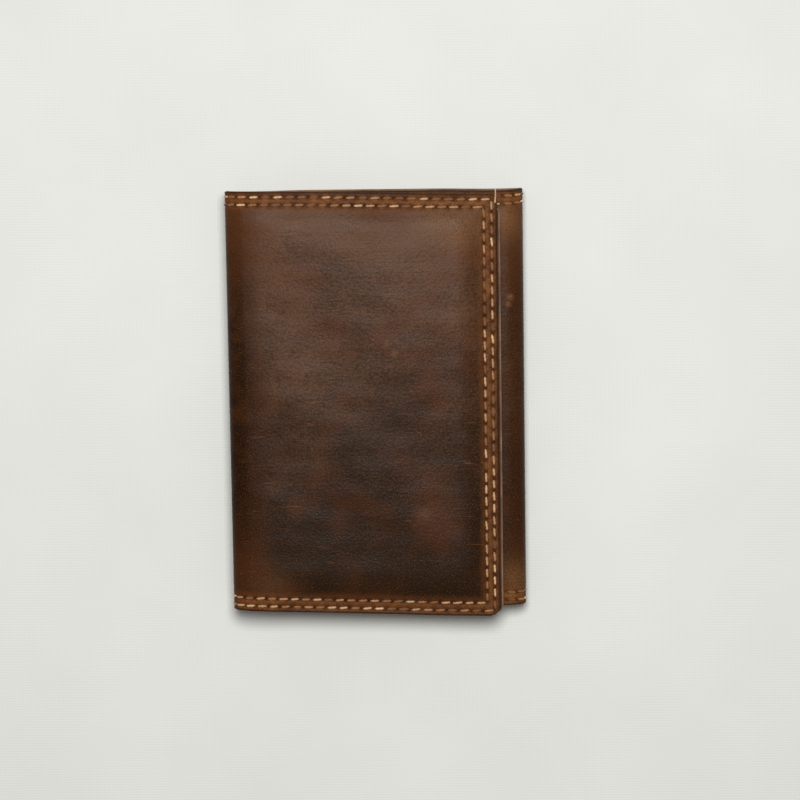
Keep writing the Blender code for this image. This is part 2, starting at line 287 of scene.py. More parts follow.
class Shell:
    """A stretch of the outer leather: from the middle of a spine, round one bend, along one leaf.

    s runs along the leather from the middle of the spine, and y along the wallet. place() puts a
    point (s, y), raised above the outer face, where it lies on the folded wallet.
    """

    def __init__(self, leaf, side, middle_z, leaf_z, end_x):
        self.side, self.middle_z = side, middle_z
        self.free = leaf != "back"
        self.slopes = (FLAP_SLOPE, FLAP_TOP_SLOPE) if leaf == "flap" else (0.0, 0.0)
        self.top_drop = WING_TOP_DROP if leaf == "wing" else 0.0
        self.pressed = SQUEEZE[leaf]
        self.up = 1 if leaf_z > middle_z else -1
        self.radius = BEND_RADIUS[side]
        self.rise = abs(leaf_z - middle_z) - self.radius
        self.flat_start = self.rise + self.radius * math.pi / 2
        self.run = abs(end_x - side * EDGE_X[side]) - self.radius
        self.length = self.flat_start + self.run
        self.leaf_z = leaf_z
        self.rests = self.up < 0
        self.rows = self.stitch_rows()
        self.stitches = [resample(row, PITCH) for row in self.rows]
        self.row_points = np.concatenate([resample(row, 0.4)[0] for row in self.rows])
        half = STITCH_LENGTH / 2 + 0.08
        ends = [[at + half * way, at - half * way] for at, way in self.stitches]
        self.holes = np.concatenate([point for pair in ends for point in pair])

    def path(self, s):
        """X and Z of the outer face at s, and the face's outward direction."""
        angle = np.clip((s - self.rise) / self.radius, 0, math.pi / 2)
        along = np.maximum(s - self.flat_start, 0)
        climb = np.minimum(s, self.rise)
        out = EDGE_X[self.side] - self.radius * (1 - np.cos(angle)) - along
        height = climb + self.radius * np.sin(angle)
        normal = (self.side * np.cos(angle), self.up * np.sin(angle))
        return self.side * out, self.middle_z + self.up * height, normal

    def square_limits(self, s):
        """Lowest and highest y at s, before the corners are rounded."""
        x = self.path(s)[0]
        along = np.maximum(x - FLAP_START_X, 0)
        taper = FOLD_TAPER * (1 - smooth((s - self.flat_start) / 16.0))
        wander = 0.10 * ripple(s, 0 * s, 31, 3)
        low = LOW_Y - self.slopes[0] * along + taper + wander
        high = HIGH_Y - self.slopes[1] * along - 0.35 * taper + 0.7 * wander
        return low, high - self.top_drop * smooth(s / self.flat_start)

    def limits(self, s):
        """Lowest and highest y at s."""
        low, high = self.square_limits(s)
        if not self.free:
            return low, high
        insets = []
        for radius in CORNERS:
            into = np.clip(radius - (self.length - s), 0, radius)
            insets.append(radius - np.sqrt(radius**2 - into**2))
        return low + insets[0], high - insets[1]

    def stitch_rows(self):
        """The stitch rows as straight runs of (s, y) points, which meet at a free edge's corners."""
        rows = []
        for inset in ROW_INSETS:
            s = np.linspace(0, self.length - inset if self.free else self.length, 120)
            low, high = self.square_limits(s)
            top = np.stack([s, high - inset], 1)
            bottom = np.stack([s, low + inset], 1)
            rows += [top, bottom]
            if self.free:
                rows.append(np.array([top[-1], bottom[-1]]))
        return rows

    def edge_distance(self, s, y):
        low, high = self.limits(s)
        side = np.minimum(y - low, high - y)
        return np.minimum(side, self.length - s) if self.free else side

    def squeeze(self, s, y):
        """1 at a sewn edge of the leaf and 0 in its middle. The top edge is open, so it bends less."""
        if self.rests:
            return 0 * s
        low, high = self.square_limits(s)
        bottom = 1 - smooth((y - low) / SQUEEZE_WIDTH)
        top = 0.55 * (1 - smooth((high - y) / SQUEEZE_WIDTH))
        free = 1 - smooth((self.length - s) / SQUEEZE_WIDTH)
        on_leaf = smooth((s - self.flat_start + 1) / 14.0)
        return (1 - (1 - bottom * on_leaf) * (1 - top * on_leaf) * (1 - free)) * on_leaf

    def relief(self, s, y):
        """The outer face's own unevenness: grooves and holes of the stitching, and soft waves."""
        flat = np.stack([s.ravel(), y.ravel()], 1)
        distance = self.edge_distance(s, y).ravel()
        near = distance < 8
        if not self.free:
            near = np.minimum(flat[:, 1] - LOW_Y, HIGH_Y - flat[:, 1]) < 8
        depth = np.zeros(len(flat))
        to_row = nearest(flat[near], self.row_points)
        to_hole = nearest(flat[near], self.holes)
        groove = GROOVE_DEPTH * (RESTING_GROOVE if self.rests else 1.0)
        depth[near] = groove * np.exp(-((to_row / GROOVE_RADIUS) ** 2))
        depth[near] += HOLE_DEPTH * np.exp(-((to_hole / HOLE_RADIUS) ** 2))
        waves = 0.16 * ripple(s, y, 34, 11) + 0.05 * ripple(s, y, 9, 12)
        waves = waves - 0.35 if self.rests else waves
        on_leaf = smooth((s - self.rise) / 9.0)
        pads = 0.22 * smooth((distance - 3.9) / 4.0).reshape(s.shape)
        pads = 0 if self.rests else pads
        return (waves + pads) * on_leaf - depth.reshape(s.shape)

    def hole_mask(self, s, y):
        """1 in the middle of each stitching hole, fading out round it; the leather paints shade there.
        """
        flat = np.stack([s.ravel(), y.ravel()], 1)
        mask = np.zeros(len(flat))
        near = np.minimum(flat[:, 1] - LOW_Y, HIGH_Y - flat[:, 1]) < 12
        if self.free:
            near |= flat[:, 0] > self.length - 8
        mask[near] = np.exp(-((nearest(flat[near], self.holes) / 0.45) ** 2))
        return mask.reshape(s.shape)

    def place(self, s, y, height, textured=True, pressed=None):
        """Points in space. pressed is how far the sewn edges are lowered, if not as the leather."""
        x, z, (out_x, out_z) = self.path(s)
        raised = height + (self.relief(s, y) if textured else 0)
        x = x + out_x * raised
        z = z + out_z * raised
        z = z - (self.pressed if pressed is None else pressed) * self.squeeze(s, y)
        if not self.rests:
            z = z - self.shoulder(s)
        if self.side < 0:
            x = x + lean(x, y)
        return np.stack([x, y + 0 * x, z], -1)

    def shoulder(self, s):
        """How far the leaf dips beside its fold, where the leather starts to curve early."""
        into = smooth((s - self.rise) / (self.flat_start - self.rise))
        return SHOULDER * into * (1 - smooth((s - self.flat_start) / SHOULDER_WIDTH))

    def along(self, x):
        """The s of a place on the flat of the leaf."""
        return self.flat_start + EDGE_X[self.side] - self.radius - self.side * x

    def wear(self, s, y):
        """1 in the middle of each worn spot, fading out round it."""
        x = self.path(s)[0]
        found = 0 * s
        if self.free:
            for spot_side, spot_x, spot_y, radius, strength in WORN_SPOTS:
                gap = ((x - spot_x) ** 2 + (y - spot_y) ** 2) / radius**2
                found = found + (spot_side == self.side) * strength * np.exp(-gap)
        return found

    def unrolled(self, s, y, start):
        """Where (s, y) lies on the flat hide, so that the grain runs on round each leaf's fold."""
        away = start + (s if self.up > 0 else -s)
        return np.stack([self.side * away, y, 0 * s], -1)


def shell_object(name, shell, start, materials):
    """One stretch of outer leather. start is where its s begins on the flat hide."""
    along = spaced(shell.length, SKIN_STEP, start_edge=False, end_edge=shell.free)
    across = spaced(HIGH_Y - LOW_Y, SKIN_STEP) / (HIGH_Y - LOW_Y)
    s, share = np.meshgrid(along, across, indexing="ij")
    low, high = shell.limits(s)
    y = low + (high - low) * share
    distance = shell.edge_distance(s, y)
    drop = edge_drop(distance)
    top = shell.place(s, y, -drop)
    bottom = shell.place(s, y, drop - LEATHER, textured=False)
    attributes = {
        "skin": shell.unrolled(s, y, start),
        "edge_mm": distance,
        # The bend mask carries both the rubbing and the painted shade of the folds.
        "bend": FOLD_WEAR_AND_SHADE[shell.side] * (1 - smooth((s - shell.flat_start + 2.0) / 10.0)),
        "hole": shell.hole_mask(s, y),
        "wear": shell.wear(s, y),
    }
    return closed_sheet(name, top, bottom, materials, attributes)


def cloth_object(name, shell, cut_back, pressed, material):
    """The woven lining behind one stretch of outer leather, from the middle of the spine."""
    along = spaced(shell.length - cut_back, SHEET_STEP, start_edge=False, end_edge=shell.free)
    share = spaced(1.0, SHEET_STEP / (HIGH_Y - LOW_Y), start_edge=False, end_edge=False)
    s, share = np.meshgrid(along, share, indexing="ij")
    low, high = shell.square_limits(s)
    y = low + CLOTH_RISE + (high - low - CLOTH_SHORT) * share
    near, far = CLOTH_DEPTH
    top = shell.place(s, y, -near, False, pressed)
    bottom = shell.place(s, y, -far, False, pressed)
    skin = shell.unrolled(s, y, 0.0)
    return closed_sheet(name, top, bottom, [material] * 3, {"skin": skin})


# ---------------------------------------------------------------- stitches


def stitch_points(centre, way, place, sink, length_jitter):
    """One stitch: a two-ply thread that rises out of one hole and dives into the next."""
    t = np.linspace(-1, 1, THREAD_STEPS)
    phi = np.linspace(0, 2 * math.pi, THREAD_SIDES, endpoint=False)
    t, phi = np.meshgrid(t, phi, indexing="ij")
    half = STITCH_LENGTH / 2 * length_jitter + 0.12
    slant = math.radians(random.normal(5.0, 2.0))
    way = np.array([
        way[0] * math.cos(slant) - way[1] * math.sin(slant),
        way[0] * math.sin(slant) + way[1] * math.cos(slant),
    ])
    beside = np.array([-way[1], way[0]])
    radius = THREAD_RADIUS * (1 + 0.16 * np.cos(2 * phi + 7.5 * t + random.uniform(0, 6)))
    radius = radius * (1 - 0.25 * np.abs(t) ** 4)
    rise = 0.12 - sink - 0.62 * np.abs(t) ** 5
    a = centre[0] + way[0] * half * t + beside[0] * radius * np.cos(phi)
    b = centre[1] + way[1] * half * t + beside[1] * radius * np.cos(phi)
    height = rise + 0.85 * radius * np.sin(phi)
    return place(a, b, height).reshape(-1, 3)


def tube_faces(steps, sides, base=0):
    """The faces of a closed tube, whose first point has the index base."""
    faces = []
    for i in range(steps - 1):
        for j in range(sides):
            a, b = base + i * sides + j, base + i * sides + (j + 1) % sides
            faces.append((a, b, b + sides, a + sides))
    last = base + (steps - 1) * sides
    return faces + [tuple(range(base, base + sides)), tuple(range(last, last + sides))]


def stitches_object(name, groups, material):
    """Stitches as one piece. groups holds (centres and directions, place function, sink)."""
    count = THREAD_STEPS * THREAD_SIDES
    points, faces, shade = [], [], []
    for (centres, ways), place, sink in groups:
        for centre, way in zip(centres, ways):
            faces += tube_faces(THREAD_STEPS, THREAD_SIDES, len(points) * count)
            points.append(stitch_points(centre, way, place, sink, random.normal(1.0, 0.05)))
            shade.append(np.full(count, random.uniform(0, 1)))
    points = np.concatenate(points)
    attributes = {"shade": np.concatenate(shade), "skin": points}
    return make_object(name, points, faces, [material], None, attributes)


def shell_stitches(name, shell, material):
    """The thread on one stretch of outer leather. It stays flush where the wallet rests on it."""
    groove, recess, sink = GROOVE_DEPTH, 0.0, 0.0
    if shell.rests:
        groove, recess, sink = RESTING_GROOVE * GROOVE_DEPTH, 0.35, 0.12

    def place(s, y, height):
        lower = groove + recess * smooth((s - shell.rise) / 9.0)
        return shell.place(s, y, height - lower, textured=False)

    return stitches_object(name, [(each, place, sink) for each in shell.stitches], material)


def thread_tail(shell, material):
    """The cut end of the thread, which sticks out past the flap's top corner in a slight curl."""
    steps, sides = 14, 8
    turns = np.arange(sides) * 2 * math.pi / sides
    t, phi = np.meshgrid(np.linspace(0, 1, steps), turns, indexing="ij")
    radius = THREAD_RADIUS * (0.8 - 0.25 * t) * (1 + 0.12 * np.cos(2 * phi + 6 * t))
    s = shell.length - 0.5 + 0.15 * np.sin(2.2 * t) + radius * np.cos(phi)
    start = shell.square_limits(np.array([shell.length]))[1][0] - 2.2
    y = start + TAIL_LENGTH * t
    height = 0.15 + 0.4 * np.sin(math.pi * t) + radius * np.sin(phi)
    points = shell.place(s, y, height, textured=False).reshape(-1, 3)
    attributes = {"shade": np.full(len(points), 0.9), "skin": points}
    faces = tube_faces(steps, sides)
    return make_object("thread_tail", points, faces, [material], None, attributes)


def seam_object(name, rows, face, pressed, material):
    """The other side of the stitching, on a leaf's inner face.

    rows are paths of (x, y). face is the height of the face and which way it looks, and pressed
    says how far it is lowered at a point.
    """
    height_of_face, way = face

    def place(x, y, height):
        return np.stack([x, y, height_of_face + way * (height - SEAM_SINK) - pressed(x, y)], -1)

    groups = [(resample(row, PITCH), place, SEAM_SINK) for row in rows]
    return stitches_object(name, groups, material)


# ---------------------------------------------------------------- layers inside the leaves


def sheet_grid(node, slope):
    """Points over a CAD sheet seen from above, and how far each is from its sides, ends and top."""
    low, high = box_mm(node)
    low_y = low[1] + slope * (high[0] - FLAP_START_X)
    high_y = high[1] + slope * (low[0] - FLAP_START_X)
    x = low[0] + spaced(high[0] - low[0], SHEET_STEP)
    share = spaced(high_y - low_y, SHEET_STEP) / (high_y - low_y)
    x, share = np.meshgrid(x, share, indexing="ij")
    to_side = np.minimum(x - low[0], high[0] - x)
    into = np.clip(SHEET_CORNER - to_side, 0, SHEET_CORNER)
    inset = SHEET_CORNER - np.sqrt(SHEET_CORNER**2 - into**2)
    y = low_y + inset + (high_y - low_y - 2 * inset) * share
    to_end = np.minimum(y - low_y, high_y - y) - inset
    return x, y - slope * (x - FLAP_START_X), to_side, to_end, high_y - y


def no_press(x, y):
    return 0 * x


def leaf_press(shell):
    """A function that gives 1 where this leaf is sewn down and 0 in its middle."""
    def press(x, y):
        return shell.squeeze(shell.along(x), y)
    return press


def back_seam_press(x, y):
    """How far the stitches on the back's front pocket are pressed down."""
    return BACK_SEAM_SHIFT * back_press(x, y)


def back_press(x, y):
    """1 at the back's sewn bottom and sides, and 0 in its middle."""
    side = np.minimum(x + POCKET_HALF, POCKET_HALF - x)
    sewn = (1 - smooth(side / SQUEEZE_WIDTH)), (1 - smooth((y - LOW_Y) / SQUEEZE_WIDTH))
    return 1 - (1 - sewn[0]) * (1 - sewn[1])


def layer_object(name, node, shift, press, materials, slope=0.0, seed=1, crease=0.0, warped=True):
    """A leather sheet of a leaf. shift is how far it is pressed down where it is sewn.

    materials are those of its upper face, its cut edge and its lower face. press gives 1 where it
    is sewn down and 0 where it is free, crease puts a line in the hem of a pocket's mouth, and
    warped moves it with the left fold.
    """
    low, high = box_mm(node)
    x, y, to_side, to_end, to_top = sheet_grid(node, slope)
    pressed = press(x, y)
    waves = 0.06 * ripple(x, y, 26, seed) * (1 - pressed)
    hem = crease * np.exp(-(((to_top - 2.4) / 0.4) ** 2))
    drop = edge_drop(np.minimum(to_side, to_end)) * min(1.0, (high[2] - low[2]) / 1.0)
    z = waves - shift * pressed
    placed = x + lean(x, y) if warped else x
    top = np.stack([placed, y, high[2] + z - drop - hem], -1)
    bottom = np.stack([placed, y, low[2] + z + drop + hem], -1)
    attributes = {
        "skin": np.stack([x, y, 0 * x + 7 * seed], -1),
        "edge_mm": np.minimum(to_side, to_end),
    }
    return closed_sheet(name, top, bottom, materials, attributes)


def window_frame_object(name, materials):
    """The identity window's leather frame: a ring round the opening, with a thumb notch above it."""
    low, high = box_mm("flap_window_frame")
    film_low, film_high = box_mm("flap_window_film")
    low_y = low[1] + FLAP_SLOPE * (high[0] - FLAP_START_X)
    high_y = high[1] + FLAP_SLOPE * (low[0] - FLAP_START_X)
    middle = np.array([(film_low[0] + film_high[0]) / 2, (low_y + high_y) / 2 - WINDOW_DROP])
    outer = ring_outline((low[0], low_y), (high[0], high_y), FRAME_CORNER)
    inner = ring_outline(middle - WINDOW_HALF, middle + WINDOW_HALF, WINDOW_CORNER)
    notch = THUMB_RADIUS**2 - (outer[:, 0] - middle[0]) ** 2
    at_top = (outer[:, 1] > high_y - 0.5) & (notch > 0)
    outer[at_top, 1] -= np.sqrt(notch[at_top]) * 0.9
    width = np.linalg.norm(outer - inner, axis=1).mean()
    share = spaced(width, 0.6) / width
    ring = outer[:, None, :] + (inner - outer)[:, None, :] * share[None, :, None]
    to_edge = np.minimum(share, 1 - share) * width + np.zeros(len(outer))[:, None]
    x, y = ring[..., 0], ring[..., 1]
    y = y - FLAP_SLOPE * (x - FLAP_START_X)
    drop = 0.7 * edge_drop(to_edge)
    seam = 0.14 * np.exp(-(((to_edge - 2.0) / 0.5) ** 2)) * (share > 0.5)
    waves = 0.05 * ripple(x, y, 21, 5)
    x = x + lean(x, y)
    top = np.stack([x, y, high[2] + waves - drop], -1)
    bottom = np.stack([x, y, low[2] + waves + drop + seam], -1)
    attributes = {
        "skin": np.stack([x, y, 0 * x + 40], -1),
        "edge_mm": to_edge,
    }
    return closed_sheet(name, top, bottom, materials, attributes, ring=True)


def ring_outline(low, high, radius):
    """Points round a rectangle with round corners, as many on each side whatever its size."""
    inner_low, inner_high = np.array(low) + radius, np.array(high) - radius
    centres = [
        inner_low, (inner_high[0], inner_low[1]), inner_high, (inner_low[0], inner_high[1]),
    ]
    points = []
    for index in range(4):
        turn = np.radians(180 + 90 * index + np.arange(10) * 10)
        arc = np.array(centres[index]) + radius * np.stack([np.cos(turn), np.sin(turn)], 1)
        turn_end = math.radians(270 + 90 * index)
        ahead = np.array(centres[(index + 1) % 4])
        reach = radius * np.array([math.cos(turn_end), math.sin(turn_end)])
        share = (np.arange(1, RING_SIDE) / RING_SIDE)[:, None]
        straight = np.array(centres[index]) + (ahead - centres[index]) * share + reach
        points += [arc, straight]
    return np.concatenate(points)


def film_object(name, material):
    low, high = box_mm("flap_window_film")
    x, y, to_side, to_end, _ = sheet_grid("flap_window_film", FLAP_SLOPE)
    inner = smooth(np.minimum(to_side, to_end) / 9.0)
    waves = inner * (0.10 * ripple(x, y, 38, 8) - 0.14)
    attributes = {"skin": np.stack([x, y, 0 * x], -1)}
    x = x + lean(x, y)
    top = np.stack([x, y, high[2] + waves - 0.05], -1)
    bottom = np.stack([x, y, low[2] + waves + 0.05], -1)
    return closed_sheet(name, top, bottom, [material] * 3, attributes)


# ---------------------------------------------------------------- materials


def srgb(red, green, blue):
    """A linear colour from its usual 0 to 255 values."""
    def linear(value):
        value /= 255
        return value / 12.92 if value <= 0.04045 else ((value + 0.055) / 1.055) ** 2.4
    return (linear(red), linear(green), linear(blue), 1.0)


class Nodes:
    """Builds one material's nodes. Each call adds a node and returns its output."""

    def __init__(self, name):
        self.material = bpy.data.materials.new(name)
        self.material.use_nodes = True
        self.tree = self.material.node_tree
        self.shader = self.tree.nodes["Principled BSDF"]

    def add(self, kind, output=0, inputs=None, **settings):
        node = self.tree.nodes.new(kind)
        for key, value in settings.items():
            setattr(node, key, value)
        for key, value in (inputs or {}).items():
            self.feed(node.inputs[key], value)
        return node.outputs[output]

    def feed(self, socket, value):
        if isinstance(value, bpy.types.NodeSocket):
            self.tree.links.new(value, socket)
        else:
            socket.default_value = value

    def set(self, **values):
        for key, value in values.items():
            self.feed(self.shader.inputs[key.replace("_", " ")], value)

    def attribute(self, name, output="Fac"):
        return self.add("ShaderNodeAttribute", output, attribute_name=name)

    def scaled(self, vector, scale):
        inputs = {0: vector, 1: scale}
        return self.add("ShaderNodeVectorMath", 0, inputs, operation="MULTIPLY")

    def noise(self, vector, scale, detail=3.0, roughness=0.55, distortion=0.0):
        inputs = {
            "Vector": vector, "Scale": scale, "Detail": detail,
            "Roughness": roughness, "Distortion": distortion,
        }
        return self.add("ShaderNodeTexNoise", "Fac", inputs)

    def cells(self, vector, scale, feature="SMOOTH_F1"):
        inputs = {"Vector": vector, "Scale": scale}
        return self.add("ShaderNodeTexVoronoi", "Distance", inputs, feature=feature)

    def wave(self, vector, scale, way):
        inputs = {"Vector": vector, "Scale": scale, "Distortion": 0.5}
        return self.add("ShaderNodeTexWave", "Fac", inputs, bands_direction=way)

    def math(self, operation, *values, clamp=False):
        inputs = dict(enumerate(values))
        return self.add("ShaderNodeMath", 0, inputs, operation=operation, use_clamp=clamp)

    def span(self, value, low, high, to_low=0.0, to_high=1.0):
        inputs = {
            "Value": value, "From Min": low, "From Max": high, "To Min": to_low, "To Max": to_high,
        }
        return self.add("ShaderNodeMapRange", 0, inputs, interpolation_type="SMOOTHSTEP")

    def mix(self, factor, first, second, blend="MIX"):
        inputs = {0: factor, 6: first, 7: second}
        return self.add("ShaderNodeMix", 2, inputs, data_type="RGBA", blend_type=blend)

    def ramp(self, value, stops):
        output = self.add("ShaderNodeValToRGB", 0, {0: value})
        ramp = output.node.color_ramp
        while len(ramp.elements) < len(stops):
            ramp.elements.new(0.5)
        for element, (position, colour) in zip(ramp.elements, stops):
            element.position, element.color = position, colour
        return output

    def total(self, *weighted):
        """The sum of (value, weight) pairs."""
        result = 0.0
        for value, weight in weighted:
            result = self.math("MULTIPLY_ADD", value, weight, result)
        return result

    def bump(self, height, depth):
        """A normal from a height of 0 to 1 that stands for this many metres."""
        inputs = {"Height": height, "Distance": depth, "Strength": 1.0}
        self.feed(self.shader.inputs["Normal"], self.add("ShaderNodeBump", 0, inputs))


LEATHER_TONES = {
    "dark": srgb(38, 25, 15),
    "mid": srgb(62, 40, 26),
    "light": srgb(92, 63, 43),
    "red": srgb(84, 44, 22),
    "black": srgb(20, 14, 10),
    "tan": srgb(142, 86, 40),
    "rust": srgb(92, 51, 25),
    "pale": srgb(134, 92, 56),
}


def leather_grain(n):
    """The values that the leather's colour, shine and relief share."""
    skin = n.attribute("skin", "Vector")
    return {
        "skin": skin,
        "y": n.add("ShaderNodeSeparateXYZ", 1, {0: skin}),
        "edge": n.attribute("edge_mm"),
        "bend": n.attribute("bend"),
        "broad": n.noise(skin, 0.034, 3.0, 0.6, 0.6),
        "medium": n.noise(skin, 0.15, 4.0, 0.6, 0.3),
        "fine": n.noise(skin, 2.3, 3.0, 0.7),
        "streak": n.noise(n.scaled(skin, (0.25, 2.0, 1.0)), 0.75, 4.0, 0.65),
        "pebble": n.cells(skin, 1.8),
        "scratch": n.noise(n.scaled(skin, (0.35, 3.4, 1.0)), 0.35, 2.0, 0.5, 1.4),
    }


def mottled(n, grain, tones):
    """The leather's mottled colour, reddish in places, with painted shade that darkens it towards the
    wallet's bottom.
    """
    # Painted shade: the colour grows darker from the wallet's top to its bottom, standing in for the
    # light falling off.
    painted_shade_gradient = n.span(grain["y"], -66.0, 66.0, -0.36, 0.09)
    tone = n.total(
        (grain["broad"], 0.55), (grain["medium"], 0.22), (grain["streak"], 0.24),
        (grain["fine"], 0.44), (grain["pebble"], -0.24), (painted_shade_gradient, 1.0),
    )
    colour = n.ramp(tone, [(0.34, tones["dark"]), (0.52, tones["mid"]), (0.72, tones["light"])])
    patches = n.noise(n.scaled(grain["skin"], (1.0, 1.0, 2.0)), 0.045, 2.0)
    return n.mix(n.span(patches, 0.48, 0.66, 0.0, 0.4), colour, tones["red"])


def with_folds(n, grain, tones, colour):
    """Rust where the leather is bent, and black painted shade in the middle of each fold's length, where
    the fold turns away from the light.
    """
    rubbed = n.math("MULTIPLY", grain["bend"], n.span(grain["fine"], 0.3, 0.7, 0.35, 0.75))
    colour = n.mix(rubbed, colour, tones["rust"])
    # Painted shade: black along the middle of each fold's length, where the fold turns away from the
    # light.
    ends = n.span(n.math("ABSOLUTE", grain["y"]), 18.0, 52.0, 0.85, 0.25)
    mask = n.math("MULTIPLY", grain["bend"], ends)
    mask = n.math("MULTIPLY", mask, n.span(grain["medium"], 0.3, 0.6, 0.6, 1.0))
    return n.mix(mask, colour, tones["black"])


def border_mask(n, grain, border):
    uneven = n.total((grain["medium"], 3.6), (grain["fine"], 2.2), (grain["edge"], 1.0))
    return n.span(uneven, border[0] + 2.9, border[1] + 2.9, 1.0, 0.0)


def with_border(n, grain, tones, colour, amount):
    """Rust and tan where the mask says that the stitched border is worn."""
    mixed = n.total((grain["medium"], 0.5), (grain["fine"], 0.5))
    worn = n.mix(n.span(mixed, 0.42, 0.62), tones["rust"], tones["tan"])
    return n.mix(amount, colour, worn)


def with_marks(n, grain, tones, colour):
    """Worn spots, scratches and specks, then the dark rims of the cut edges, and painted shade in the
    stitching holes.
    """
    uneven = n.span(grain["fine"], 0.3, 0.65, 0.25, 1.0)
    spots = n.math("MULTIPLY", n.attribute("wear"), uneven, clamp=True)
    specks = n.span(n.noise(grain["skin"], 3.1, 2.0), 0.54, 0.74, 0.0, 0.42)
    # Painted shade: near black in each stitching hole, a recess where shade falls.
    holes = n.math("MULTIPLY", n.attribute("hole"), 0.85, clamp=True)
    colour = n.mix(spots, colour, tones["pale"])
    colour = n.mix(n.span(grain["scratch"], 0.69, 0.78, 0.0, 0.4), colour, tones["tan"])
    colour = n.mix(specks, colour, tones["tan"])
    colour = n.mix(n.span(grain["edge"], 0.2, 1.0, 0.7, 0.0), colour, tones["black"])
    return n.mix(holes, colour, tones["black"])


def leather_material(name, tones, border=(2.8, 5.8), border_strength=0.72, shine=0.06):
    """Waxed pull-up leather: mottled, worn tan along its stitched borders, with painted shade in its
    folds, in its stitching holes and towards the wallet's bottom.

    border is how far in from a cut edge the tan begins to fade and where it is gone.
    """
    n = Nodes(name)
    grain = leather_grain(n)
    margin = border_mask(n, grain, border)
    colour = with_folds(n, grain, tones, mottled(n, grain, tones))
    colour = with_border(n, grain, tones, colour, n.math("MULTIPLY", margin, border_strength))
    n.set(Base_Color=with_marks(n, grain, tones, colour))
    n.set(Roughness=n.total((grain["medium"], 0.14), (grain["fine"], 0.12), (margin, 0.10), (0.23, 1.0)))
    gloss = n.span(grain["bend"], 0.0, 1.0, shine, 0.4 * shine)
    n.feed(n.shader.inputs["Specular IOR Level"], gloss)
    height = n.total(
        (grain["pebble"], 0.75), (grain["fine"], 0.45), (grain["streak"], 0.40),
        (grain["scratch"], -0.25),
    )
    n.bump(height, 0.00006)
    return n.material


def raw_edge_material(name, pale, deep):
    """Cut leather: loose fibres in blotchy tones."""
    n = Nodes(name)
    place = n.add("ShaderNodeTexCoord", "Object")
    fibre = n.noise(n.scaled(place, (1500.0, 1500.0, 5200.0)), 1.0, 4.0, 0.65)
    blotch = n.noise(n.scaled(place, (260.0, 260.0, 260.0)), 1.0, 3.0)
    tone = n.total((fibre, 0.6), (blotch, 0.5))
    n.set(Base_Color=n.ramp(tone, [(0.38, deep), (0.66, pale)]), Roughness=0.82)
    n.shader.inputs["Specular IOR Level"].default_value = 0.2
    n.bump(fibre, 0.00012)
    return n.material


def flesh_material(name):
    """The unfinished inner side of the leather, short-napped and matt, dark up to its pale rim; the dark
    is its own brown deepened with painted shade.
    """
    n = Nodes(name)
    skin = n.attribute("skin", "Vector")
    nap = n.noise(skin, 1.6, 5.0, 0.7)
    cloud = n.noise(skin, 0.09, 3.0)
    tone = n.total((nap, 0.4), (cloud, 0.6))
    # Partly painted shade: these tones are kept dark to stand for the shadow on the ledge beside the
    # flap's free edge.
    colour = n.ramp(tone, [(0.36, srgb(50, 33, 23)), (0.62, srgb(86, 60, 42))])
    rim = n.span(n.total((n.attribute("edge_mm"), 1.0), (nap, 0.5)), 0.45, 0.85, 1.0, 0.0)
    rim = n.math("MULTIPLY", rim, n.span(n.noise(skin, 0.16, 3.0), 0.35, 0.65, 0.45, 1.0))
    colour = n.mix(rim, colour, srgb(150, 114, 88))
    n.set(Base_Color=colour, Roughness=0.92)
    n.shader.inputs["Sheen Weight"].default_value = 0.15
    n.shader.inputs["Specular IOR Level"].default_value = 0.15
    n.bump(nap, 0.00014)
    return n.material


def cloth_material(name):
    """Dark lining cloth in a fine twill."""
    n = Nodes(name)
    skin = n.attribute("skin", "Vector")
    slanted = n.add("ShaderNodeVectorRotate", 0, {"Vector": skin, "Angle": 0.6})
    warp = n.wave(slanted, 0.62, "X")
    weft = n.wave(skin, 0.85, "Y")
    weave = n.total((warp, 0.6), (weft, 0.4))
    tone = n.total((weave, 0.5), (n.noise(skin, 0.15, 3.0), 0.5))
    n.set(Base_Color=n.ramp(tone, [(0.25, srgb(24, 19, 17)), (0.8, srgb(58, 47, 40))]))
    n.set(Roughness=0.85)
    n.shader.inputs["Sheen Weight"].default_value = 0.3
    n.bump(weave, 0.00012)
    return n.material


def thread_material(name):
    """Waxed tan thread, each stitch a little cleaner or dirtier than the next."""
    n = Nodes(name)
    skin = n.attribute("skin", "Vector")
    fibre = n.noise(skin, 6.0, 3.0, 0.6)
    dirt = n.noise(skin, 0.22, 2.0)
    tone = n.total((n.attribute("shade"), 0.55), (fibre, 0.25), (dirt, 0.30))
    stops = [(0.22, srgb(98, 62, 36)), (0.52, srgb(150, 104, 66)), (0.85, srgb(222, 184, 142))]
    n.set(Base_Color=n.ramp(tone, stops), Roughness=0.65)
    n.shader.inputs["Specular IOR Level"].default_value = 0.25
    n.shader.inputs["Sheen Weight"].default_value = 0.15
    n.bump(fibre, 0.00005)
    return n.material


def film_material(name):
    """Clear plastic film with a faint, uneven haze."""
    n = Nodes(name)
    haze = n.noise(n.attribute("skin", "Vector"), 0.05, 2.0)
    n.set(Base_Color=n.ramp(haze, [(0.3, srgb(206, 210, 210)), (0.7, srgb(228, 230, 228))]))
    n.set(Roughness=n.span(haze, 0.35, 0.65, 0.07, 0.11))
    n.set(Alpha=n.span(haze, 0.35, 0.65, 0.045, 0.07))
    n.shader.inputs["IOR"].default_value = 1.5
    return n.material


